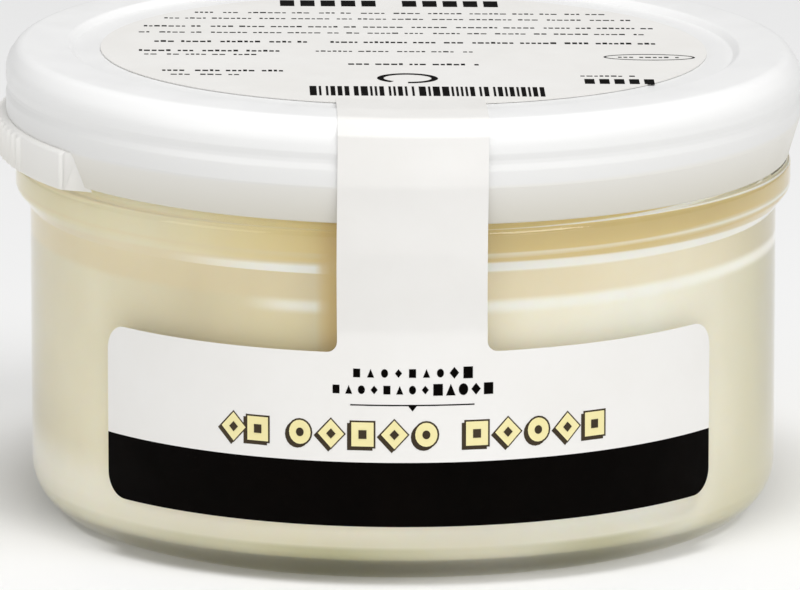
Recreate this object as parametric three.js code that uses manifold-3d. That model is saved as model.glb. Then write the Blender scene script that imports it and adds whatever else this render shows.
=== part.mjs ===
// A squat round glass jar of panna cotta with a white push-on lid and a one-piece paper label. The
// label starts as an oval on the lid's recessed top, runs over the lid's rim as a narrow strip, hangs
// down past the jar's bead and widens into the panel on the jar's front.
// Millimetres, +Z up. The jar stands on z = 0, its axis is the Z axis and its label faces -Y.

import Module from 'manifold-3d';
import * as THREE from 'three';
import { mergeVertices } from 'three/addons/utils/BufferGeometryUtils.js';

// Driving dimensions
const SEGMENTS = 64;
const GAP = 0.3; // clearance between pieces that touch

const BODY_R = 36;
const GLASS_WALL = 2.1;
const HEEL_ROUND = 6.7; // outer rounding between the base and the wall
const BASE_THICKNESS = 2.7;
const INNER_ROUND = 4.5; // inner rounding between the floor and the wall
const PUNT_R = 25.7; // the base stands on the ring outside this shallow recess
const PUNT_DEPTH = 0.7;
const BEAD_R = 37.4; // raised bead under the lid
const BEAD_LOW = 30.1;
const BEAD_TOP = 34.5;
const NECK_R = 35.4;
const MOUTH_R = 33.9;
const RIM_Z = 42.8;
const RIM_ROUND = 0.7;

const FILL_Z = 35.9; // level of the set cream, just hidden by the lid

const LID_TILT = 0.6; // degrees, the lid sits a little lower on its right side
const LID_R = 38.3;
const LID_LOW_R = 37.2; // the skirt tapers in below its crease
const LID_LOW = 35.2;
const LID_CREASE = 38.85;
const LID_GROOVE_Z = 41.4; // shallow line around the skirt
const LID_CREST_Z = 45.2;
const LID_PANEL_R = 31.7; // recessed top panel
const LID_PANEL_Z = 44.6;
const LID_SKIN = 1;

const TAB_R = 38.9; // tear tab, a band that stands off the tapered skirt
const TAB_START = -56; // degrees round from the front, towards -X
const TAB_END = -100;
const TAB_DROP = 0.3; // it reaches this far below the skirt's own edge
const RIB_START = -72;
const RIB_COUNT = 11;
const RIB_STEP = -2.6;
const RIB_R = 0.4;

const PAPER = 0.3;
const LABEL_TURN = 1.4; // degrees, the label was stuck on slightly turned
const PANEL_HALF_ANGLE = 52.4;
const PANEL_LOW = 6;
const PANEL_TOP = 22.7;
const PANEL_CORNER = 2.4;
const STRIP_HALF = 7.2;
const STRIP_FILLET = 1;
const OVAL_HALF_X = 29.2;
const OVAL_HALF_Y = 27.2;

const wasm = await Module();
wasm.setup();

// Points along an arc in the (radius, height) plane, from one angle in degrees to another.
function arc(centreR, centreZ, radius, from, to, steps) {
  const points = [];
  for (let i = 0; i <= steps; i += 1) {
    const angle = THREE.MathUtils.degToRad(from + ((to - from) * i) / steps);
    points.push([centreR + radius * Math.cos(angle), centreZ + radius * Math.sin(angle)]);
  }
  return points;
}

// Turns a (radius, height) profile about the Z axis, with its seam at the front, -Y.
function lathe(profile) {
  const points = profile.map(([r, z]) => new THREE.Vector2(r, z));
  const geometry = new THREE.LatheGeometry(points, SEGMENTS);
  geometry.rotateX(Math.PI / 2);
  return geometry;
}

function weld(geometry) {
  geometry.deleteAttribute('normal');
  geometry.deleteAttribute('uv');
  return mergeVertices(geometry, 1e-4);
}

function toSolid(geometry) {
  const welded = weld(geometry);
  const corners = welded.index.array;
  const triangles = [];
  for (let i = 0; i < corners.length; i += 3) {
    const [a, b, c] = [corners[i], corners[i + 1], corners[i + 2]];
    if (a !== b && b !== c && c !== a) triangles.push(a, b, c);
  }
  const mesh = new wasm.Mesh({
    numProp: 3,
    vertProperties: new Float32Array(welded.attributes.position.array),
    triVerts: new Uint32Array(triangles),
  });
  return new wasm.Manifold(mesh);
}

function toGeometry(solid) {
  const mesh = solid.getMesh();
  const geometry = new THREE.BufferGeometry();
  geometry.setAttribute('position', new THREE.BufferAttribute(mesh.vertProperties, 3));
  geometry.setIndex(new THREE.BufferAttribute(mesh.triVerts, 1));
  geometry.computeVertexNormals();
  return geometry;
}

// A point at an azimuth in degrees from the front, -Y, positive towards +X.
function around(radius, azimuth, z) {
  const angle = THREE.MathUtils.degToRad(azimuth);
  return new THREE.Vector3(radius * Math.sin(angle), -radius * Math.cos(angle), z);
}

function makePiece(name, geometry, look) {
  const mesh = new THREE.Mesh(geometry, new THREE.MeshStandardMaterial(look));
  mesh.name = name;
  return mesh;
}

// Jar: outside from the base up to the rim, then the inside back down to the floor.
function makeJar() {
  const inner = BODY_R - GLASS_WALL;
  const heelR = BODY_R - HEEL_ROUND;
  const beadRound = 1;
  const profile = [
    [0, PUNT_DEPTH],
    [PUNT_R - 3, PUNT_DEPTH],
    [PUNT_R, 0],
    ...arc(heelR, HEEL_ROUND, HEEL_ROUND, -90, 0, 7),
    [BODY_R, BEAD_LOW],
    [BODY_R + 0.55, BEAD_LOW + 0.6],
    [BEAD_R - 0.3, BEAD_LOW + 1.5],
    [BEAD_R, BEAD_LOW + 2.5],
    ...arc(BEAD_R - beadRound, BEAD_TOP - beadRound, beadRound, 0, 90, 3),
    [NECK_R, BEAD_TOP],
    ...arc(NECK_R - RIM_ROUND, RIM_Z - RIM_ROUND, RIM_ROUND, 0, 90, 3),
    ...arc(MOUTH_R + RIM_ROUND, RIM_Z - RIM_ROUND, RIM_ROUND, 90, 180, 3),
    [MOUTH_R, BEAD_TOP],
    [inner, BEAD_LOW],
    ...arc(inner - INNER_ROUND, BASE_THICKNESS + INNER_ROUND, INNER_ROUND, 0, -90, 5),
    [0, BASE_THICKNESS],
  ];
  const look = { color: 0xe9ecdf, roughness: 0.04, metalness: 0, transparent: true, opacity: 0.35 };
  return makePiece('jar', lathe(profile), look);
}

// Set cream, solid up to its level.
function makeCream() {
  const radius = BODY_R - GLASS_WALL - GAP;
  const floor = BASE_THICKNESS + GAP;
  const profile = [
    [0, floor],
    ...arc(radius - INNER_ROUND, floor + INNER_ROUND, INNER_ROUND, -90, 0, 5),
    [radius, FILL_Z],
    [0, FILL_Z],
  ];
  return makePiece('panna_cotta', lathe(profile), { color: 0xf1e9cd, roughness: 0.45, metalness: 0 });
}

// The ribbed tear tab: a band round part of the skirt, with upright ribs along its far part.
function makeTab() {
  const low = LID_LOW - TAB_DROP;
  const top = LID_CREASE - TAB_DROP;
  const band = toSolid(lathe([
    [LID_LOW_R - 0.4, low],
    [TAB_R, low],
    [TAB_R, top - 0.3],
    [TAB_R - 0.3, top],
    [LID_LOW_R + 0.6, top],
    [LID_LOW_R - 0.4, low],
  ]));
  const reach = 2 * TAB_R;
  const start = around(reach, TAB_START, 0);
  const end = around(reach, TAB_END, 0);
  const sector = new THREE.Shape([
    new THREE.Vector2(0, 0),
    new THREE.Vector2(end.x, end.y),
    new THREE.Vector2(start.x, start.y),
  ]);
  const wedge = new THREE.ExtrudeGeometry(sector, { depth: LID_CREST_Z, bevelEnabled: false });
  let tab = band.intersect(toSolid(wedge));
  const height = top - low - 0.6;
  for (let i = 0; i < RIB_COUNT; i += 1) {
    const place = around(TAB_R, RIB_START + i * RIB_STEP, low + 0.2 + height / 2);
    const rib = new THREE.CylinderGeometry(RIB_R, RIB_R, height, 8);
    rib.rotateX(Math.PI / 2);
    rib.translate(place.x, place.y, place.z);
    tab = tab.add(toSolid(rib));
  }
  return tab;
}

// Lid: underside and inner skirt down to the lower edge, then up the outside and over the crest.
function makeLid() {
  const under = LID_PANEL_Z - LID_SKIN;
  const profile = [
    [0, under],
    [LID_R - LID_SKIN - 1.3, under],
    [LID_R - LID_SKIN, under - 1.3],
    [LID_R - LID_SKIN - 0.1, LID_CREASE],
    [LID_LOW_R - LID_SKIN, LID_LOW + 0.3],
    [LID_LOW_R - 0.6, LID_LOW],
    [LID_LOW_R, LID_LOW],
    [LID_R - 0.1, LID_CREASE],
    [LID_R, LID_CREASE + 0.3],
    [LID_R, LID_GROOVE_Z - 0.5],
    [LID_R - 0.25, LID_GROOVE_Z - 0.3],
    [LID_R - 0.25, LID_GROOVE_Z + 0.3],
    [LID_R, LID_GROOVE_Z + 0.5],
    [LID_R - 0.5, LID_CREST_Z - 1.5],
    [LID_R - 1, LID_CREST_Z - 0.6],
    [LID_R - 1.9, LID_CREST_Z],
    [LID_PANEL_R + 0.9, LID_CREST_Z],
    [LID_PANEL_R, LID_PANEL_Z],
    [0, LID_PANEL_Z],
  ];
  const solid = toSolid(lathe(profile)).add(makeTab());
  const lid = makePiece('lid', toGeometry(solid), { color: 0xf6f6f4, roughness: 0.35, metalness: 0 });
  lid.rotation.y = THREE.MathUtils.degToRad(LID_TILT);
  lid.position.x = -LID_CREASE * Math.sin(lid.rotation.y);
  return lid;
}

// Height of the panel's top or bottom edge at a distance along it, with its rounded outer corners
// and, on top, the small fillets where the strip grows out of it.
function panelEdge(distance, top) {
  const end = THREE.MathUtils.degToRad(PANEL_HALF_ANGLE) * BODY_R;
  const toEnd = end - Math.abs(distance);
  const toStrip = Math.abs(distance) - STRIP_HALF;
  let inset = 0;
  if (toEnd < PANEL_CORNER) {
    inset = PANEL_CORNER - Math.sqrt(Math.max(0, PANEL_CORNER ** 2 - (PANEL_CORNER - toEnd) ** 2));
  }
  if (!top) return PANEL_LOW + inset;
  if (toStrip > STRIP_FILLET) return PANEL_TOP - inset;
  const across = THREE.MathUtils.clamp(STRIP_FILLET - toStrip, 0, STRIP_FILLET);
  return PANEL_TOP + STRIP_FILLET - Math.sqrt(STRIP_FILLET ** 2 - across ** 2);
}

// A thick curved plate with the front panel's outline, which cuts the panel out of a thinner shell.
function makePanelCutter() {
  const end = PANEL_HALF_ANGLE;
  const perMillimetre = THREE.MathUtils.radToDeg(1 / BODY_R);
  const corner = PANEL_CORNER * perMillimetre;
  const strip = STRIP_HALF * perMillimetre;
  const fillet = STRIP_FILLET * perMillimetre;
  const half = [strip, strip + 0.13 * fillet, strip + 0.4 * fillet, strip + fillet];
  for (let i = 1; i < 7; i += 1) half.push(THREE.MathUtils.lerp(strip + fillet, end - corner, i / 7));
  for (const turn of [0, 22.5, 45, 67.5, 90]) {
    half.push(end - corner * (1 - Math.sin(THREE.MathUtils.degToRad(turn))));
  }
  const angles = [...half.map((angle) => -angle).reverse(), ...half];
  const inner = BODY_R - 2;
  const outer = BODY_R + 4;
  const positions = [];
  for (const angle of angles) {
    const distance = angle / perMillimetre;
    const low = panelEdge(distance, false);
    const high = panelEdge(distance, true);
    for (const [radius, z] of [[outer, low], [outer, high], [inner, high], [inner, low]]) {
      positions.push(...around(radius, angle, z).toArray());
    }
  }
  const index = [];
  const last = 4 * (angles.length - 1);
  for (let column = 0; column < last; column += 4) {
    for (let side = 0; side < 4; side += 1) {
      const a = column + side;
      const b = column + ((side + 1) % 4);
      index.push(a, a + 4, b, b, a + 4, b + 4);
    }
  }
  index.push(0, 1, 2, 0, 2, 3);
  index.push(last, last + 2, last + 1, last, last + 3, last + 2);
  const geometry = new THREE.BufferGeometry();
  geometry.setAttribute('position', new THREE.Float32BufferAttribute(positions, 3));
  geometry.setIndex(index);
  return geometry;
}

// A closed profile of even thickness whose inner side is the given line.
function thicken(line, thickness) {
  const outer = line.map(([r, z], i) => {
    const before = line[Math.max(i - 1, 0)];
    const after = line[Math.min(i + 1, line.length - 1)];
    const along = new THREE.Vector2(after[0] - before[0], after[1] - before[1]).normalize();
    return [r + along.y * thickness, z - along.x * thickness];
  });
  return [...outer, ...[...line].reverse(), outer[0]];
}

// Label: one sheet of paper, laid round the jar, up the lid and onto its top.
function makeLabel() {
  const body = BODY_R + GAP;
  const skirt = LID_R + GAP;
  const crest = LID_CREST_Z + GAP;
  const floor = LID_PANEL_Z + GAP;
  const path = [
    [body, PANEL_LOW - 2],
    [body, PANEL_TOP + 1.6],
    [BEAD_R + GAP + 0.1, BEAD_LOW + 2],
    [skirt, LID_CREASE],
    [skirt, LID_CREST_Z - 1.6],
    [LID_R - 1.2, crest],
    [LID_PANEL_R + 0.6, crest],
    [LID_PANEL_R - 2.4, floor],
    [OVAL_HALF_Y - 4, floor],
  ];
  const shell = toSolid(lathe(thicken(path, PAPER)));
  const reach = 2 * BODY_R;
  const strip = new THREE.BoxGeometry(2 * STRIP_HALF, reach, reach);
  strip.translate(0, -(OVAL_HALF_Y - 3) - reach / 2, PANEL_TOP - 1 + reach / 2);
  const outline = toSolid(makePanelCutter()).add(toSolid(strip));
  const oval = new THREE.Shape().absellipse(0, 0, OVAL_HALF_X, OVAL_HALF_Y, 0, 2 * Math.PI);
  const top = new THREE.ExtrudeGeometry(oval, { depth: PAPER, bevelEnabled: false, curveSegments: 48 });
  top.rotateY(THREE.MathUtils.degToRad(LID_TILT));
  top.translate(0, 0, floor);
  const sheet = shell.intersect(outline).add(toSolid(top));
  const look = { color: 0xf2f0ec, roughness: 0.7, metalness: 0 };
  const label = makePiece('label', toGeometry(sheet), look);
  label.rotation.z = THREE.MathUtils.degToRad(LABEL_TURN);
  return label;
}

const jarOfPannaCotta = new THREE.Group();
jarOfPannaCotta.add(makeJar(), makeCream(), makeLid(), makeLabel());

export default jarOfPannaCotta;
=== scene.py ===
"""A squat glass jar of panna cotta with a white push-on lid and a one-piece paper label.

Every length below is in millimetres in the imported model's frame, and becomes metres when a mesh is
made. Azimuths are degrees round from the front, -Y, positive towards +X.
"""
import math
import random

import bpy
from mathutils import Matrix, Vector, noise


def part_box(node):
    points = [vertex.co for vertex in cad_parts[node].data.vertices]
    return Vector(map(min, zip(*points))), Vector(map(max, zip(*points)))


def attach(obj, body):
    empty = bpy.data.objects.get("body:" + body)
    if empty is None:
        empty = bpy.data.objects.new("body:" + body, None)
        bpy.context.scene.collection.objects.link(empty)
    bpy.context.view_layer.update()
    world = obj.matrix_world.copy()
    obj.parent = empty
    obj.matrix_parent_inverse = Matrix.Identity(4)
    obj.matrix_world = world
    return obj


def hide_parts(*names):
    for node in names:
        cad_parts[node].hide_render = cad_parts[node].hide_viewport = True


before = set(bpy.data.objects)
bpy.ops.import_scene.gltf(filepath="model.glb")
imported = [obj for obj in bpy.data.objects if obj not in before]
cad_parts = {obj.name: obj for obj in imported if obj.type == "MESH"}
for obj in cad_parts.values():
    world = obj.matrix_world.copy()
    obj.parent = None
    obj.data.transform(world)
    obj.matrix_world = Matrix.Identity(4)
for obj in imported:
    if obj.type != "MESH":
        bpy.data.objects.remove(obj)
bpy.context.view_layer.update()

MM = 0.001
SEGMENTS = 288  # vertices in each turned ring


def span(node):
    """A CAD node's lowest and highest corners, in millimetres."""
    low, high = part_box(node)
    return low / MM, high / MM


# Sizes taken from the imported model
BEAD_R = span("jar")[1].x
RIM_Z = span("jar")[1].z
FILL_Z = span("panna_cotta")[1].z
PANEL_LOW_Z = span("label")[0].z

# Sizes that the boxes don't give: the jar and its cream
BODY_R = 36.0
WALL = 2.1
BASE_THICKNESS = 2.7
RECESS_R = 23.8
RECESS_DEPTH = 0.7
FOOT_R = 25.7  # inner edge of the ring that the jar stands on
HEEL_ROUND = 6.7
INNER_ROUND = 2.2
BEAD_LOW_Z = 30.1
NECK_R = 35.4
CREAM_SIDE_Z = 5.0  # from here up the cream's side is straight
CREAM_ROWS = 132

# The lid and its tear tab, with azimuths in degrees
LID_R = 38.3
LID_LOW_Z = 35.2
CREASE_Z = 38.85
CREST_Z = 45.2
LID_PANEL_R = 31.7
LID_PANEL_Z = 44.6
LID_SKIN = 1.0
LID_TILT = 0.6
TAB_R = 38.9
TAB_START = -56.0
TAB_END = -100.0
TAB_DROP = 0.3
RIB_START = -70.0
RIB_PITCH = 2.6
RIB_DEPTH = 0.38

# The label
PAPER = 0.11
PAPER_GAP = 0.03  # between the paper and what it lies on
TOP_GAP = 0.05  # the same under the oval
LABEL_TURN = 1.4
PANEL_TOP_Z = 22.7
PANEL_HALF = 32.9
PANEL_CORNER = 2.4
BAND_TOP_Z = 12.2
STRIP_HALF = 7.1
STRIP_FILLET = 1.0
STRIP_FREE_Z = PANEL_TOP_Z + 2.0  # from here up the strip stands off the jar
OVAL_HALF_X = 29.2
OVAL_HALF_Y = 27.2


# --- Profiles and meshes ---------------------------------------------------------------------------


def rounded(corners, steps=8):
    """A line through (radius, height, rounding) corners, with an arc at each rounded one."""
    line = []
    for i, (r, z, rounding) in enumerate(corners):
        corner = Vector((r, z))
        if rounding == 0 or i in (0, len(corners) - 1):
            line.append((r, z))
            continue
        back = Vector(corners[i - 1][:2]) - corner
        ahead = Vector(corners[i + 1][:2]) - corner
        half = back.angle(ahead) / 2
        reach = min(rounding / math.tan(half), 0.49 * back.length, 0.49 * ahead.length)
        radius = reach * math.tan(half)
        middle = (back.normalized() + ahead.normalized()).normalized()
        centre = corner + middle * (radius / math.sin(half))
        start = corner + back.normalized() * reach - centre
        end = corner + ahead.normalized() * reach - centre
        first = math.atan2(start.y, start.x)
        turn = math.remainder(math.atan2(end.y, end.x) - first, 2 * math.pi)
        for k in range(steps + 1):
            angle = first + turn * k / steps
            line.append((centre.x + radius * math.cos(angle), centre.y + radius * math.sin(angle)))
    return line


def around(radius, azimuth, z):
    """A point at a radius, azimuth and height."""
    angle = math.radians(azimuth)
    return Vector((radius * math.sin(angle), -radius * math.cos(angle), z))


def turned(line):
    """Vertices and faces of a (radius, height) line turned about the Z axis."""
    verts, rings = [], []
    for r, z in line:
        count = 1 if r < 1e-6 else SEGMENTS
        rings.append([len(verts) + k for k in range(count)])
        verts += [around(r, 360 * k / SEGMENTS, z) for k in range(count)]
    faces = []
    for low, high in zip(rings, rings[1:]):
        for k in range(SEGMENTS):
            n = (k + 1) % SEGMENTS
            if len(low) == 1:
                faces.append((low[0], high[n], high[k]))
            elif len(high) == 1:
                faces.append((low[k], low[n], high[0]))
            else:
                faces.append((low[k], low[n], high[n], high[k]))
    return verts, faces


def slab(outer, inner, quads):
    """A closed sheet: its outer faces, its inner faces and the walls along its open edges."""
    count = len(outer)
    faces = list(quads) + [tuple(count + i for i in reversed(quad)) for quad in quads]
    edges = {(a, b) for quad in quads for a, b in zip(quad, quad[1:] + quad[:1])}
    for a, b in sorted(edges):
        if (b, a) not in edges:
            faces.append((b, a, count + a, count + b))
    return list(outer) + list(inner), faces


def make_piece(name, verts, faces, materials, slot, sharp=40):
    """A smooth-shaded piece that rides on the one body, with the given materials."""
    mesh = bpy.data.meshes.new(name)
    mesh.from_pydata([Vector(v) * MM for v in verts], [], faces)
    mesh.validate()
    mesh.polygons.foreach_set("use_smooth", [True] * len(mesh.polygons))
    mesh.set_sharp_from_angle(angle=math.radians(sharp))
    for material in materials:
        mesh.materials.append(material)
    piece = bpy.data.objects.new(name, mesh)
    bpy.context.scene.collection.objects.link(piece)
    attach(piece, "root")
    return piece


# --- Materials -------------------------------------------------------------------------------------


class Look:
    """A node material with one Principled shader, and short ways to feed its sockets."""

    def __init__(self, name, colour, **values):
        self.material = bpy.data.materials.new(name)
        self.material.use_nodes = True
        self.nodes = self.material.node_tree.nodes
        self.links = self.material.node_tree.links
        self.shader = self.nodes["Principled BSDF"]
        self.shader.inputs["Base Color"].default_value = (*colour, 1)
        for socket, value in values.items():
            self.shader.inputs[socket.replace("_", " ")].default_value = value
        self.place = self.nodes.new("ShaderNodeTexCoord").outputs["Object"]

    def noise(self, scale, detail=3.0, roughness=0.5, stretch=(1, 1, 1)):
        """A noise factor; scale is in features per metre."""
        mapping = self.nodes.new("ShaderNodeMapping")
        mapping.inputs["Scale"].default_value = stretch
        texture = self.nodes.new("ShaderNodeTexNoise")
        texture.inputs["Scale"].default_value = scale
        texture.inputs["Detail"].default_value = detail
        texture.inputs["Roughness"].default_value = roughness
        self.links.new(self.place, mapping.inputs["Vector"])
        self.links.new(mapping.outputs["Vector"], texture.inputs["Vector"])
        return texture.outputs["Fac"]

    def ramp(self, factor, stops):
        """A colour ramp through (position, (r, g, b)) stops."""
        ramp = self.nodes.new("ShaderNodeValToRGB")
        elements = ramp.color_ramp.elements
        while len(elements) < len(stops):
            elements.new(0.5)
        for element, (position, colour) in zip(elements, stops):
            element.position = position
            element.color = (*colour, 1)
        self.links.new(factor, ramp.inputs["Fac"])
        return ramp.outputs["Color"]

    def vary(self, factor, low, high):
        """A number that runs from low to high as the factor goes from 0 to 1."""
        span_node = self.nodes.new("ShaderNodeMapRange")
        span_node.inputs["From Min"].default_value = 0.3
        span_node.inputs["From Max"].default_value = 0.7
        span_node.inputs["To Min"].default_value = low
        span_node.inputs["To Max"].default_value = high
        self.links.new(factor, span_node.inputs["Value"])
        return span_node.outputs["Result"]

    def bump(self, height, distance, strength=1.0):
        """Fine relief; distance is its depth in metres."""
        bump = self.nodes.new("ShaderNodeBump")
        bump.inputs["Strength"].default_value = strength
        bump.inputs["Distance"].default_value = distance
        self.links.new(height, bump.inputs["Height"])
        self.links.new(bump.outputs["Normal"], self.shader.inputs["Normal"])

    def feed(self, socket, value):
        """Joins a node's output to one of the shader's sockets."""
        self.links.new(value, self.shader.inputs[socket])


def glass_look():
    """Clear glass, faintly wavy like a moulded jar."""
    look = Look("clear_glass", (0.995, 1.0, 0.99), Roughness=0.0, IOR=1.5, Transmission_Weight=1.0)
    look.bump(look.noise(50, 2.0, 0.4, (1, 1, 0.6)), 0.0004, 0.22)
    return look.material


def cream_look():
    """Cream whose colour follows the light and shade painted into the mesh's tone attribute, mottled a
    little.
    """
    look = Look("set_cream", (0.94, 0.9, 0.76), Roughness=0.4, IOR=1.4, Subsurface_Weight=0.5)
    look.shader.inputs["Subsurface Radius"].default_value = (1.0, 0.8, 0.5)
    look.shader.inputs["Subsurface Scale"].default_value = 0.002
    tone = look.nodes.new("ShaderNodeVertexColor")
    tone.layer_name = "tone"
    mottled = look.nodes.new("ShaderNodeMix")
    mottled.data_type = "RGBA"
    mottled.blend_type = "MULTIPLY"
    mottled.inputs["Factor"].default_value = 1.0
    blotches = look.ramp(look.noise(100, 4.0, 0.55), [(0.3, (0.95, 0.94, 0.91)), (0.7, (1, 1, 1))])
    look.links.new(tone.outputs["Color"], mottled.inputs["A"])
    look.links.new(blotches, mottled.inputs["B"])
    look.feed("Base Color", mottled.outputs["Result"])
    look.feed("Roughness", look.vary(look.noise(400), 0.34, 0.48))
    look.bump(look.noise(260, 4.0), 0.00006, 0.5)
    return look.material


def lid_look(name, stops):
    """White plastic with light and shade painted on it: its colour runs through the stops from the lid's
    lower edge to its crest.
    """
    look = Look(name, (0.9, 0.9, 0.9), Roughness=0.32, IOR=1.47, Specular_IOR_Level=0.4)
    height = look.nodes.new("ShaderNodeSeparateXYZ")
    look.links.new(look.place, height.inputs["Vector"])
    rise = look.nodes.new("ShaderNodeMapRange")
    rise.inputs["From Min"].default_value = LID_LOW_Z * MM
    rise.inputs["From Max"].default_value = CREST_Z * MM
    look.links.new(height.outputs["Z"], rise.inputs["Value"])
    look.feed("Base Color", look.ramp(rise.outputs["Result"], stops))
    look.feed("Roughness", look.vary(look.noise(300, 2.0), 0.28, 0.38))
    look.bump(look.noise(500, 2.0, 0.5), 0.00002, 0.25)
    return look.material


def paper_look():
    """Matt white paper with a faint fibre."""
    look = Look("label_paper", (0.88, 0.87, 0.845), Roughness=0.6, Specular_IOR_Level=0.3)
    fibre = look.noise(75, 5.0, 0.6)
    tones = [(0.25, (0.82, 0.805, 0.775)), (0.75, (0.86, 0.85, 0.83))]
    look.feed("Base Color", look.ramp(fibre, tones))
    look.feed("Roughness", look.vary(look.noise(500), 0.52, 0.66))
    look.bump(look.noise(900, 5.0, 0.6), 0.00002, 0.4)
    return look.material


def ink_look(name, low, high, roughness, shine):
    """Printed ink, with the slight mottling of a printed field."""
    look = Look(name, high, Specular_IOR_Level=shine)
    look.feed("Base Color", look.ramp(look.noise(180, 5.0, 0.7), [(0.3, low), (0.75, high)]))
    look.feed("Roughness", look.vary(look.noise(600), roughness - 0.06, roughness + 0.06))
    look.bump(look.noise(900, 5.0, 0.6), 0.00002, 0.4)
    return look.material


GLASS = glass_look()
CREAM = cream_look()
# Painted shade and a painted warm reflection of the cream below the crease, lighter towards the top where
# the light falls
LID = lid_look("white_lid", [
    (0.0, (0.66, 0.635, 0.56)),
    (0.35, (0.77, 0.755, 0.71)),
    (0.39, (0.78, 0.778, 0.766)),
    (0.7, (0.84, 0.84, 0.832)),
    (1.0, (0.93, 0.93, 0.927)),
])
# The tab: painted shade and a painted warm reflection of the cream, darker towards its lower edge
TAB = lid_look("white_tab", [(0.0, (0.80, 0.785, 0.74)), (0.39, (0.87, 0.86, 0.835))])
PAPER_WHITE = paper_look()
INK_BLACK = ink_look("ink_black", (0.0008, 0.0005, 0.0003), (0.002, 0.0012, 0.0008), 0.62, 0.03)
INK_BROWN = ink_look("ink_brown", (0.03, 0.02, 0.01), (0.06, 0.042, 0.02), 0.55, 0.2)
INK_YELLOW = ink_look("ink_yellow", (0.85, 0.76, 0.37), (0.9, 0.82, 0.45), 0.55, 0.3)


# --- Jar and cream ---------------------------------------------------------------------------------


def make_jar():
    """The glass, with an outline that runs up its outside, over the rim and down its inside."""
    inner = BODY_R - WALL
    profile = [
        (0, RECESS_DEPTH, 0),
        (RECESS_R, RECESS_DEPTH, 2),
        (FOOT_R, 0, 1),
        (BODY_R, 0, HEEL_ROUND),
        (BODY_R, BEAD_LOW_Z, 0.2),
        (BODY_R + 0.6, BEAD_LOW_Z + 0.8, 1.5),
        (BEAD_R, BEAD_LOW_Z + 1.8, 1.1),
        (BEAD_R, BEAD_LOW_Z + 4.35, 0.6),
        (NECK_R, BEAD_LOW_Z + 4.6, 0.4),
        (NECK_R, RIM_Z, 0.7),
        (inner, RIM_Z, 0.7),
        (inner, BASE_THICKNESS, INNER_ROUND),
        (0, BASE_THICKNESS, 0),
    ]
    piece = make_piece("glass_jar", *turned(rounded(profile, 12)), [GLASS], "clear_glass")
    # Hidden from shadow rays and from bounced light, so that both reach the cream
    piece.visible_shadow = False
    piece.visible_diffuse = False
    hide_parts("jar")


# Painted light and shade of the cream round the jar: azimuth and (r, g, b)
CREAM_SHADING_ROUND = [
    (-180, (0.92, 0.85, 0.62)), (-85, (0.648, 0.594, 0.414)), (-75, (0.756, 0.693, 0.486)),
    (-56, (0.855, 0.801, 0.594)), (-34, (0.756, 0.675, 0.45)), (-18, (0.828, 0.738, 0.468)),
    (8, (0.81, 0.729, 0.504)), (20, (0.93, 0.88, 0.71)), (42, (0.96, 0.93, 0.79)),
    (58, (0.84, 0.8, 0.64)), (70, (0.69, 0.65, 0.45)), (85, (0.48, 0.44, 0.28)),
    (100, (0.8, 0.74, 0.53)), (180, (0.92, 0.85, 0.62)),
]
# The same under the lid's edge, with the lid's shadow painted in
CREAM_LID_SHADOW = [
    (-180, (0.788, 0.664, 0.349)), (-60, (0.813, 0.747, 0.498)), (-42, (0.813, 0.747, 0.515)),
    (-24, (0.813, 0.689, 0.357)), (-10, (0.813, 0.639, 0.266)), (60, (0.813, 0.639, 0.274)),
    (180, (0.788, 0.664, 0.349)),
]
# Colours that paint light and shade into the cream
PALE_LIGHT = (1.0, 0.98, 0.88)
OCHRE_SHADE = (0.80, 0.69, 0.44)
OCHRE_SHADE_END = (0.55, 0.47, 0.28)
FOOT_SHADE_RING = (0.50, 0.48, 0.29)
FOOT_END_SHADE = (0.62, 0.58, 0.38)
STRIP_SHADE = (0.80, 0.60, 0.24)


def blend(a, b, share):
    """The colour or point that lies a share of the way from a to b."""
    return tuple(x + (y - x) * share for x, y in zip(a, b))


def step(value, start, end):
    """0 before start, 1 after end and a smooth rise between; the other way round if end is less."""
    share = max(0.0, min(1.0, (value - start) / (end - start)))
    return share * share * (3 - 2 * share)


def along(stops, value):
    """The colour at a value, between (value, colour) stops in rising order."""
    for (start, low), (end, high) in zip(stops, stops[1:]):
        if value <= end:
            return blend(low, high, (value - start) / (end - start))
    return stops[-1][1]


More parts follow.
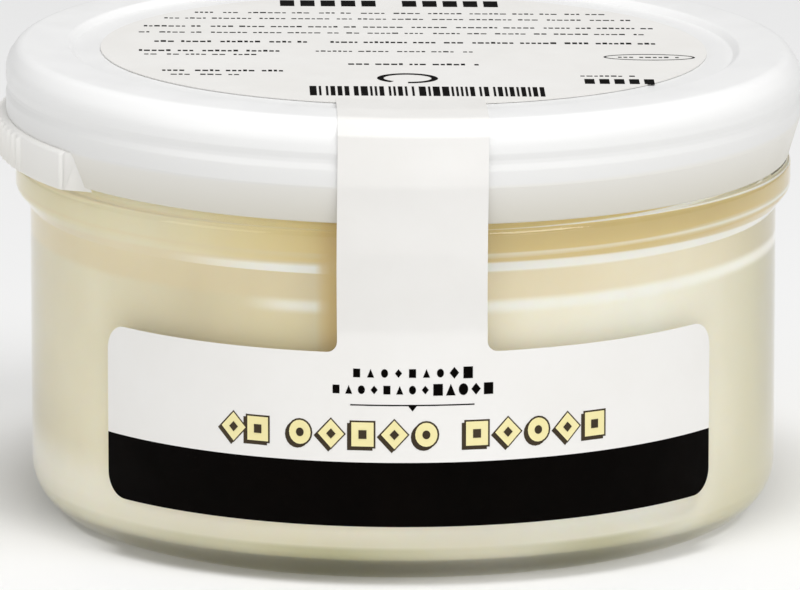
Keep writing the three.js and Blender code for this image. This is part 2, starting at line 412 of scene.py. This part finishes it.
def cream_tone(point):
    """The cream's colour at a point.

    Light and shade are painted here by height in millimetres and azimuth in degrees: round the jar,
    under the lid's edge, in bright bands where the glass bends the light, as the paper strip's shadow
    and at the foot. All but the light and shade round the jar and under the lid's edge fade out at the
    back.
    """
    azimuth = math.degrees(math.atan2(point.x, -point.y))
    uneven = noise.noise(Vector((point.x * 0.07, point.y * 0.07, point.z * 0.08)))
    z = point.z + 0.2 * noise.noise(Vector((point.x * 0.05, point.y * 0.05, 1.0)))
    # Painted light and shade round the jar, and the lid's painted shadow under its edge
    side = along(CREAM_SHADING_ROUND, azimuth)
    top = along(CREAM_LID_SHADOW, azimuth)
    under_lid = step(z, 31.6, 32.0)
    left_of_strip = step(azimuth, -12.0, -13.0)

    # Painted light makes the foot paler, with painted shade in a darker ring inside the base and at a
    # darker end on the right
    tone = blend(side, PALE_LIGHT, 0.6 * step(z, 10, 6) * step(azimuth, 75, 40))
    tone = blend(tone, FOOT_SHADE_RING, (0.7 + 0.6 * uneven) * step(z, 4.1, 3.4))
    tone = blend(tone, FOOT_END_SHADE, 0.5 * step(z, 12, 5) * step(azimuth, 48, 62))

    # Painted shade in an ochre band, darker at its right end, with a painted bright band at its lower
    # edge
    ochre = blend(side, OCHRE_SHADE, 0.85)
    ochre = blend(ochre, OCHRE_SHADE_END, 0.7 * step(azimuth, 55, 75))
    tone = blend(tone, ochre, step(z, 26.8, 27.6) * (0.9 - 0.35 * step(azimuth, 15, 60)))
    low_band = step(z, 25.8, 26.5) * step(z, 27.5, 26.8)
    low_reach = step(azimuth, 0, 12) + left_of_strip * step(azimuth, -27, -17)
    tone = blend(tone, PALE_LIGHT, 0.85 * low_band * min(1.0, low_reach))

    # The lid's painted shadow under its edge, with a painted bright band where it starts
    tone = blend(tone, top, under_lid)
    lift = 0.15 if azimuth > 0 else -0.2
    top_band = step(z, 30.3 + lift, 30.6 + lift) * step(z, 31.8 + lift, 31.5 + lift)
    top_reach = step(azimuth, 0, 10) + left_of_strip * step(azimuth, -42, -20)
    tone = blend(tone, PALE_LIGHT, top_band * min(1.0, top_reach))

    # The shade behind the paper strip
    shade = step(z, 19, 23.5) * step(azimuth, -13.2, -12.0) * step(azimuth, 10, 8)
    tone = blend(tone, STRIP_SHADE, 0.95 * shade)

    # At the back only the painted light and shade round the jar and under the lid's edge stay
    plain = blend(side, top, under_lid)
    tone = blend(plain, tone, step(abs(azimuth), 150, 110))
    return tuple(min(1.0, value * (1 + 0.05 * uneven)) for value in tone)


def make_cream():
    """The cream, with enough rows of vertices up its side to hold its painted light and shade."""
    reach = 0.05  # the cream wets the glass, so its skin lies just inside the wall
    radius = BODY_R - WALL + reach
    low = BASE_THICKNESS - reach
    rise = FILL_Z - CREAM_SIDE_Z
    outline = rounded([(0, low, 0), (radius, low, INNER_ROUND), (radius, CREAM_SIDE_Z, 0)], 12)
    outline += [(radius, CREAM_SIDE_Z + rise * k / CREAM_ROWS) for k in range(1, CREAM_ROWS + 1)]
    outline += [(radius - 0.5, FILL_Z - 0.3), (radius - 3, FILL_Z - 0.5), (0, FILL_Z - 0.5)]
    verts, faces = turned(outline)
    piece = make_piece("set_cream", verts, faces, [CREAM], "set_cream", 60)
    tone = piece.data.color_attributes.new("tone", "FLOAT_COLOR", "POINT")
    for value, point in zip(tone.data, verts):
        value.color = (*cream_tone(point), 1)
    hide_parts("panna_cotta")


# --- Lid -------------------------------------------------------------------------------------------


def tilted(verts):
    """Points carried along by the lid, which sits a little lower on its right side.

    The free part of the strip below the lid follows in part, and what is below that stays.
    """
    pivot = Vector((0, 0, CREASE_Z))
    turn = Matrix.Rotation(math.radians(LID_TILT), 3, "Y")
    moved = []
    for point in verts:
        share = max(0.0, min(1.0, (point[2] - STRIP_FREE_Z) / (LID_LOW_Z - STRIP_FREE_Z)))
        away = Vector(point) - pivot
        moved.append(Vector(point) + (turn @ away - away) * share)
    return moved


def make_lid():
    """The lid's shell, with an outline that runs from under its middle round the skirt to its top."""
    under = LID_PANEL_Z - LID_SKIN
    low_r = LID_R - 1.1
    profile = [
        (0, under, 0),
        (LID_R - LID_SKIN, under, 1.4),
        (LID_R - LID_SKIN - 0.1, CREASE_Z, 0.5),
        (low_r - LID_SKIN, LID_LOW_Z, 0.3),
        (low_r, LID_LOW_Z, 0.3),
        (LID_R - 0.05, CREASE_Z, 0.3),
        (LID_R, CREASE_Z + 1.6, 0.9),
        (LID_R - 0.14, CREASE_Z + 2.2, 0.9),
        (LID_R - 0.14, CREASE_Z + 2.6, 0.9),
        (LID_R, CREASE_Z + 3.2, 0.9),
        (LID_R, CREST_Z - 1.7, 2.3),
        (LID_R - 1.2, CREST_Z, 1.35),
        (LID_PANEL_R + 0.65, CREST_Z, 0.4),
        (LID_PANEL_R, LID_PANEL_Z, 0.3),
        (0, LID_PANEL_Z, 0),
    ]
    verts, faces = turned(rounded(profile, 8))
    piece = make_piece("push_on_lid", tilted(verts), faces, [LID], "white_lid", 50)
    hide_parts("lid")


def make_tab():
    """The tear tab: an upright band that stands off the tapered skirt, ribbed along its far part."""
    low, top = LID_LOW_Z - TAB_DROP, CREASE_Z - TAB_DROP
    section = rounded([
        (LID_R - 1.5, low, 0),
        (TAB_R, low, 0.3),
        (TAB_R, top, 0.35),
        (LID_R - 0.5, top + 0.1, 0),
    ], 5)
    fine = 0.2  # degrees from one section to the next
    count = round((TAB_START - TAB_END) / fine)
    verts, faces = [], []
    for i in range(count + 1):
        azimuth = TAB_START - i * fine
        past = RIB_START - azimuth
        wave = max(0.0, math.cos(2 * math.pi * past / RIB_PITCH))
        ridge = RIB_DEPTH * wave ** 2 if past > -0.6 else 0
        from_end = min(i, count - i) * fine
        ease = 0.22 * max(0.0, 1 - from_end / 0.6) ** 2  # rounds the outer corners of both ends
        slant = max(0.0, 1 - i * fine / 8)  # the front end is cut aslant
        for r, z in section:
            outside = min(1, max(0, (r - LID_R + 0.2) / 0.5))
            inside_height = min(1, max(0, min(z - low, top - z) / 0.35))
            inner_shift = 3.0 if z < low + 1 else 1.6
            shift = slant * (inner_shift * (1 - outside) - 0.4 * outside)
            verts.append(around(r + outside * (ridge * inside_height - ease), azimuth + shift, z))
    width = len(section)
    for i in range(count):
        for k in range(width):
            n = (k + 1) % width
            a, b = i * width + k, i * width + n
            faces.append((a, a + width, b + width, b))
    faces.append(tuple(range(width)))
    faces.append(tuple(count * width + k for k in reversed(range(width))))
    make_piece("lid_tear_tab", tilted(verts), faces, [TAB], "white_lid", 35)


# --- Label -----------------------------------------------------------------------------------------


def label_path():
    """The strip's inner side, as (radius, height), from the panel's top up and over the lid's rim."""
    body = BODY_R + PAPER_GAP
    bead = BEAD_R + 0.04
    skirt = LID_R + 0.08
    crest = CREST_Z + PAPER_GAP
    floor = LID_PANEL_Z + PAPER_GAP
    row = 0.55  # about the length from one row of vertices to the next
    corners = [
        (body, PANEL_TOP_Z + STRIP_FILLET, 0),
        (body, STRIP_FREE_Z, 9),
        (bead, BEAD_LOW_Z + 2.4, 7),
        (skirt, CREASE_Z + 0.2, 4.5),
        (skirt, CREST_Z - 1.4, 0.3),
        (LID_R - 1.35, crest, 0.9),
        (LID_PANEL_R + 1.1, crest, 3),
        (OVAL_HALF_Y - 2, floor, 0),
    ]
    coarse = rounded(corners, 8)
    line = [coarse[0]]
    for start, end in zip(coarse, coarse[1:]):
        pieces = max(1, round(math.dist(start, end) / row))
        line += [blend(start, end, k / pieces) for k in range(1, pieces + 1)]
    return line


def offset(line, distance):
    """The same line moved outwards along its own normal."""
    moved = []
    for i, (r, z) in enumerate(line):
        before, after = line[max(i - 1, 0)], line[min(i + 1, len(line) - 1)]
        tangent = Vector((after[0] - before[0], after[1] - before[1])).normalized()
        moved.append((r + tangent.y * distance, z - tangent.x * distance))
    return moved


def panel_edge(s, top):
    """Height of the panel's top or bottom edge, with its rounded corners and the strip's fillets."""
    to_end = PANEL_HALF - abs(s)
    to_strip = abs(s) - STRIP_HALF
    inset = 0.0
    if to_end < PANEL_CORNER:
        inset = PANEL_CORNER - math.sqrt(max(0.0, PANEL_CORNER ** 2 - (PANEL_CORNER - to_end) ** 2))
    if not top:
        return PANEL_LOW_Z + inset
    if to_strip > STRIP_FILLET:
        return PANEL_TOP_Z - inset
    across = STRIP_FILLET - max(0.0, to_strip)
    return PANEL_TOP_Z + STRIP_FILLET - math.sqrt(STRIP_FILLET ** 2 - across ** 2)


def on_label(s, r, z):
    """A point of the label s millimetres along it from its middle, at a radius and height."""
    return around(r, math.degrees(s / r) + LABEL_TURN, z)


def waviness(s, z):
    """Slight unevenness of the paper where it hangs free between the lid and the jar."""
    free = max(0.0, min(1.0, (z - STRIP_FREE_Z) / 4, (CREST_Z - 2 - z) / 3))
    broad = 0.16 * noise.noise(Vector((s * 0.09, z * 0.16, 3.1)))
    fine = 0.05 * noise.noise(Vector((s * 0.35, z * 0.3, 8.4)))
    return free * (0.06 + broad + fine)


def label_columns():
    """Where the label's columns of vertices stand, as distances along it from its middle."""
    fillet_end = STRIP_HALF + STRIP_FILLET
    straight = PANEL_HALF - PANEL_CORNER - fillet_end
    half = [STRIP_HALF * k / 15 for k in range(16)]
    half += [fillet_end - STRIP_FILLET * math.cos(math.radians(15 * k)) for k in range(1, 7)]
    half += [fillet_end + straight * k / 46 for k in range(1, 46)]
    half += [PANEL_HALF - PANEL_CORNER * (1 - math.sin(math.radians(7.5 * k))) for k in range(13)]
    return [-s for s in reversed(half[1:])] + half


def make_label():
    """The front panel, with its dark band, and the strip up over the lid's rim, as one sheet."""
    columns = label_columns()
    band_rows, white_rows = 8, 14
    strip_inner = label_path()[1:]
    strip_outer = offset(label_path(), PAPER)[1:]
    outer, inner, index = [], [], {}
    for c, s in enumerate(columns):
        low, high = panel_edge(s, False), panel_edge(s, True)
        for row in range(band_rows + white_rows + 1):
            if row <= band_rows:
                z = low + (BAND_TOP_Z - low) * row / band_rows
            else:
                z = BAND_TOP_Z + (high - BAND_TOP_Z) * (row - band_rows) / white_rows
            index[c, row] = len(outer)
            outer.append(on_label(s, BODY_R + PAPER_GAP + PAPER, z))
            inner.append(on_label(s, BODY_R + PAPER_GAP, z))
        if abs(s) > STRIP_HALF + 1e-6:
            continue
        for k, ((r, z), (r_in, z_in)) in enumerate(zip(strip_outer, strip_inner)):
            index[c, band_rows + white_rows + 1 + k] = len(outer)
            lift = waviness(s, z)
            outer.append(on_label(s, r + lift, z))
            inner.append(on_label(s, r_in + lift, z_in))
    quads, dark = [], []
    rows = band_rows + white_rows + len(strip_outer)
    for c in range(len(columns) - 1):
        for row in range(rows):
            corners = [(c, row), (c + 1, row), (c + 1, row + 1), (c, row + 1)]
            if all(corner in index for corner in corners):
                quads.append(tuple(index[corner] for corner in corners))
                dark.append(row < band_rows)
    verts, faces = slab(outer, inner, quads)
    materials = [PAPER_WHITE, INK_BLACK]
    piece = make_piece("paper_label", tilted(verts), faces, materials, "label_paper", 50)
    for polygon, is_dark in zip(piece.data.polygons, dark):
        polygon.material_index = 1 if is_dark else 0
    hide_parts("label")


def make_oval():
    """The label's oval top, which lies on the lid's recessed panel."""
    floor = LID_PANEL_Z + TOP_GAP
    rings, around_count = 12, 160
    outer = [Vector((0, 0, floor + PAPER))]
    for ring in range(1, rings + 1):
        for k in range(around_count):
            angle = 2 * math.pi * k / around_count
            x = OVAL_HALF_X * ring / rings * math.sin(angle)
            y = -OVAL_HALF_Y * ring / rings * math.cos(angle)
            outer.append(Vector((x, y, floor + PAPER)))
    quads = []
    for k in range(around_count):
        n = (k + 1) % around_count
        quads.append((0, 1 + k, 1 + n))
        for ring in range(rings - 1):
            low, high = 1 + ring * around_count, 1 + (ring + 1) * around_count
            quads.append((low + k, high + k, high + n, low + n))
    turn = Matrix.Rotation(math.radians(LABEL_TURN), 3, "Z")
    outer = [turn @ point for point in outer]
    inner = [point - Vector((0, 0, PAPER)) for point in outer]
    verts, faces = slab(outer, inner, quads)
    make_piece("paper_label_top", tilted(verts), faces, [PAPER_WHITE], "label_paper")


# --- Print -----------------------------------------------------------------------------------------

INK = 0.02  # thickness of a printed shape


class Print:
    """Collects flat shapes of one ink and lays them on the front panel or on the oval top."""

    def __init__(self, place):
        self.place = place
        self.verts = []
        self.faces = []

    def shape(self, points, level=1):
        """A closed thin plate with this outline, given anticlockwise as seen from outside."""
        start, count = len(self.verts), len(points)
        self.verts += [self.place(u, v, INK * level) for u, v in points]
        self.verts += [self.place(u, v, -INK) for u, v in points]
        self.faces.append(tuple(start + k for k in range(count)))
        self.faces.append(tuple(start + count + k for k in reversed(range(count))))
        for k in range(count):
            n = (k + 1) % count
            self.faces.append((start + k, start + count + k, start + count + n, start + n))

    def bar(self, u0, v0, u1, v1, level=1):
        """A rectangle, in lengths short enough to follow the jar."""
        pieces = max(1, math.ceil((u1 - u0) / 2))
        for k in range(pieces):
            a = u0 + (u1 - u0) * k / pieces
            b = u0 + (u1 - u0) * (k + 1) / pieces
            self.shape([(a, v0), (b, v0), (b, v1), (a, v1)], level)

    def finish(self, name, material):
        """Makes one piece of all the shapes."""
        make_piece(name, tilted(self.verts), self.faces, [material], "label_paper", 30)


def on_front(s, z, lift):
    """A point over the front panel, s millimetres along it from its middle."""
    return on_label(s, BODY_R + PAPER_GAP + PAPER + lift, z)


def on_top(x, y, lift):
    """A point over the oval top, in the label's own directions."""
    turn = Matrix.Rotation(math.radians(LABEL_TURN), 3, "Z")
    return turn @ Vector((x, y, LID_PANEL_Z + TOP_GAP + PAPER + lift))


def emblem(kind, u, v, width, height):
    """Outline of a plain shape centred on (u, v)."""
    w, h = width / 2, height / 2
    if kind == "disc":
        angles = [2 * math.pi * k / 20 for k in range(20)]
        return [(u + w * math.cos(angle), v + h * math.sin(angle)) for angle in angles]
    if kind == "lozenge":
        return [(u - w, v), (u, v - h), (u + w, v), (u, v + h)]
    if kind == "triangle":
        return [(u - w, v - h), (u + w, v - h), (u, v + h)]
    return [(u - w, v - h), (u + w, v - h), (u + w, v + h), (u - w, v + h)]


# The title's shapes: how far along the panel each one stands, and its kind
TITLE = [
    (-17.4, "lozenge"), (-14.9, "square"),
    (-10.7, "disc"), (-7.7, "lozenge"), (-4.7, "square"), (-1.7, "lozenge"), (1.3, "disc"),
    (6.1, "square"), (9.1, "lozenge"), (12.1, "disc"), (15.1, "lozenge"), (18.0, "square"),
]


def print_front():
    """Title row of outlined yellow shapes, two rows of small marks, a rule and a small triangle."""
    brown = Print(on_front)
    yellow = Print(on_front)
    black = Print(on_front)
    title_z = 14.9
    for s, kind in TITLE:
        share = 1.25 if kind == "lozenge" else 1.05
        width, height = 2.0 * share, 2.2 * share
        # from the lowest layer up: a drop shadow, an outline, the shape and a mark in its middle
        brown.shape(emblem(kind, s - 0.26, title_z - 0.24, width + 0.3, height + 0.3), 1)
        brown.shape(emblem(kind, s, title_z, width + 0.34, height + 0.34), 1.3)
        yellow.shape(emblem(kind, s, title_z, width, height), 2.2)
        brown.shape(emblem(kind, s, title_z, 0.36 * width, 0.36 * height), 3.0)
    kinds = ["square", "triangle", "disc", "lozenge"]
    rows = ((20.8, 9, 5.9, 7), (19.2, 13, 7.8, 8))  # height, marks, half length, first bold mark
    for z, marks, half, bold_from in rows:
        for k in range(marks):
            s = -half + 2 * half * (k + 0.5) / marks
            size = 0.9 if k >= bold_from else 0.66
            black.shape(emblem(kinds[k % len(kinds)], s, z, size, 1.25 * size))
    rule_z = 17.66
    black.bar(-5.85, rule_z, 5.85, rule_z + 0.13)
    black.shape([(-0.4, rule_z), (0, rule_z - 0.51), (0.4, rule_z)])
    brown.finish("print_front_brown", INK_BROWN)
    yellow.finish("print_front_yellow", INK_YELLOW)
    black.finish("print_front_black", INK_BLACK)


# Rows of fine marks on the top: middle y, height, and where they start and end across
FINE_ROWS = [
    (17.7, 0.5, -20.0, 21.0), (14.7, 0.5, -23.0, 22.5), (10.6, 0.6, -25.0, 24.5),
    (7.5, 0.5, -25.5, 24.0), (2.9, 0.8, -24.0, -9.0), (2.9, 0.8, -7.0, 25.0),
    (-1.7, 0.8, -25.5, -12.0), (-3.6, 0.5, -25.0, -14.0), (-1.7, 0.5, -8.5, 7.0),
    (-8.0, 0.8, -5.5, 7.3), (-11.5, 0.8, -23.3, -11.6), (-13.5, 0.5, -22.5, -16.0),
    (-13.3, 0.5, 16.5, 22.0), (-3.9, 0.5, 20.5, 26.5),
]


def print_top():
    """Rows of fine marks, rows of blocks, two rings and a field of upright bars, none of them letters."""
    draw = random.Random(7)
    black = Print(on_top)
    for y, height, x0, x1 in FINE_ROWS:
        x = x0
        while x < x1 - 0.5:
            word = min(x1 - x, draw.uniform(1.2, 4.2))
            end = x + word
            while x < end - 0.25:
                mark = draw.uniform(0.28, 0.6)
                tall = height * draw.choice((0.75, 0.75, 1.0))
                black.bar(x, y - height / 2, min(x + mark, end), y - height / 2 + tall)
                x += mark + 0.18
            x = end + 0.6
    for k in range(11):
        if k != 5:  # the space between two words
            black.bar(-11.6 + 2.0 * k, 21.2, -10.2 + 2.0 * k, 24.2)
    for k in range(5):
        black.bar(16.8 + 1.42 * k, -17.1, 17.75 + 1.42 * k, -14.8)
    count = 40
    # Rings: centre, half width, half height, line width and how many of the count are left out
    rings = ((0.0, -14.9, 2.9, 2.4, 0.62, 4), (23.5, -3.9, 4.4, 1.5, 0.22, 0))
    for x, y, half_x, half_y, width, missing in rings:
        for k in range(count - missing):
            a, b = (2 * math.pi * (k + j) / count for j in (0, 1))
            corners = [(0, a), (0, b), (width, b), (width, a)]
            points = [
                (x + (half_x - inset) * math.sin(t), y - (half_y - inset) * math.cos(t))
                for inset, t in corners
            ]
            black.shape(points)
    x = -9.4
    while x < 12.5:
        bar = draw.choice((0.22, 0.22, 0.44, 0.66))
        black.bar(x, -23.4, x + bar, -18.9)
        x += bar + draw.choice((0.22, 0.22, 0.44))
    black.finish("print_top_black", INK_BLACK)


# --- Stage, light and camera -----------------------------------------------------------------------


def make_floor():
    """A plain pale floor, 12 metres across."""
    size = 6.0
    mesh = bpy.data.meshes.new("floor")
    corners = [(-size, -size, 0), (size, -size, 0), (size, size, 0), (-size, size, 0)]
    mesh.from_pydata(corners, [], [(0, 1, 2, 3)])
    look = Look("studio_floor", (0.92, 0.92, 0.92), Roughness=0.9, Specular_IOR_Level=0.05)
    mesh.materials.append(look.material)
    floor = bpy.data.objects.new("floor", mesh)
    bpy.context.scene.collection.objects.link(floor)


def make_light(name, azimuth, elevation, distance, size, power):
    """A rectangular softbox aimed at the jar's middle; its distance and size are in metres."""
    light = bpy.data.lights.new(name, "AREA")
    light.shape = "RECTANGLE"
    light.size, light.size_y = size
    light.energy = power
    lamp = bpy.data.objects.new(name, light)
    up = math.radians(elevation)
    aim = Vector((0, 0, 0.025))
    towards = around(math.cos(up), azimuth, math.sin(up))
    lamp.location = aim + towards * distance
    lamp.rotation_euler = towards.to_track_quat("Z", "Y").to_euler()
    lamp.visible_camera = False
    bpy.context.scene.collection.objects.link(lamp)


def make_world():
    """Even white light from all round."""
    world = bpy.data.worlds.new("studio")
    world.use_nodes = True
    background = world.node_tree.nodes["Background"]
    background.inputs["Color"].default_value = (1, 1, 1, 1)
    background.inputs["Strength"].default_value = 0.37
    bpy.context.scene.world = world


def make_camera():
    """A long lens a metre in front of the jar, which looks down at it."""
    pitch = 12.34
    data = bpy.data.cameras.new("camera")
    data.lens = 500
    data.sensor_width = 36
    camera = bpy.data.objects.new("camera", data)
    camera.location = Vector((-0.29, -1050.8, 250.3)) * MM
    camera.rotation_euler = (math.radians(90 - pitch), 0, 0)
    bpy.context.scene.collection.objects.link(camera)
    bpy.context.scene.camera = camera


make_camera()
make_world()
make_floor()
make_light("key", 49, 47, 1.4, (0.6, 0.6), 6.2)
make_light("fill", -58, 14, 1.5, (0.9, 0.9), 4)
make_light("low", 30, 5, 1.6, (1.6, 0.25), 2.6)
make_light("top", 0, 74, 1.2, (0.35, 0.35), 6.2)
bpy.context.scene.view_settings.view_transform = "Standard"

make_jar()
make_cream()
make_lid()
make_tab()
make_label()
make_oval()
print_front()
print_top()
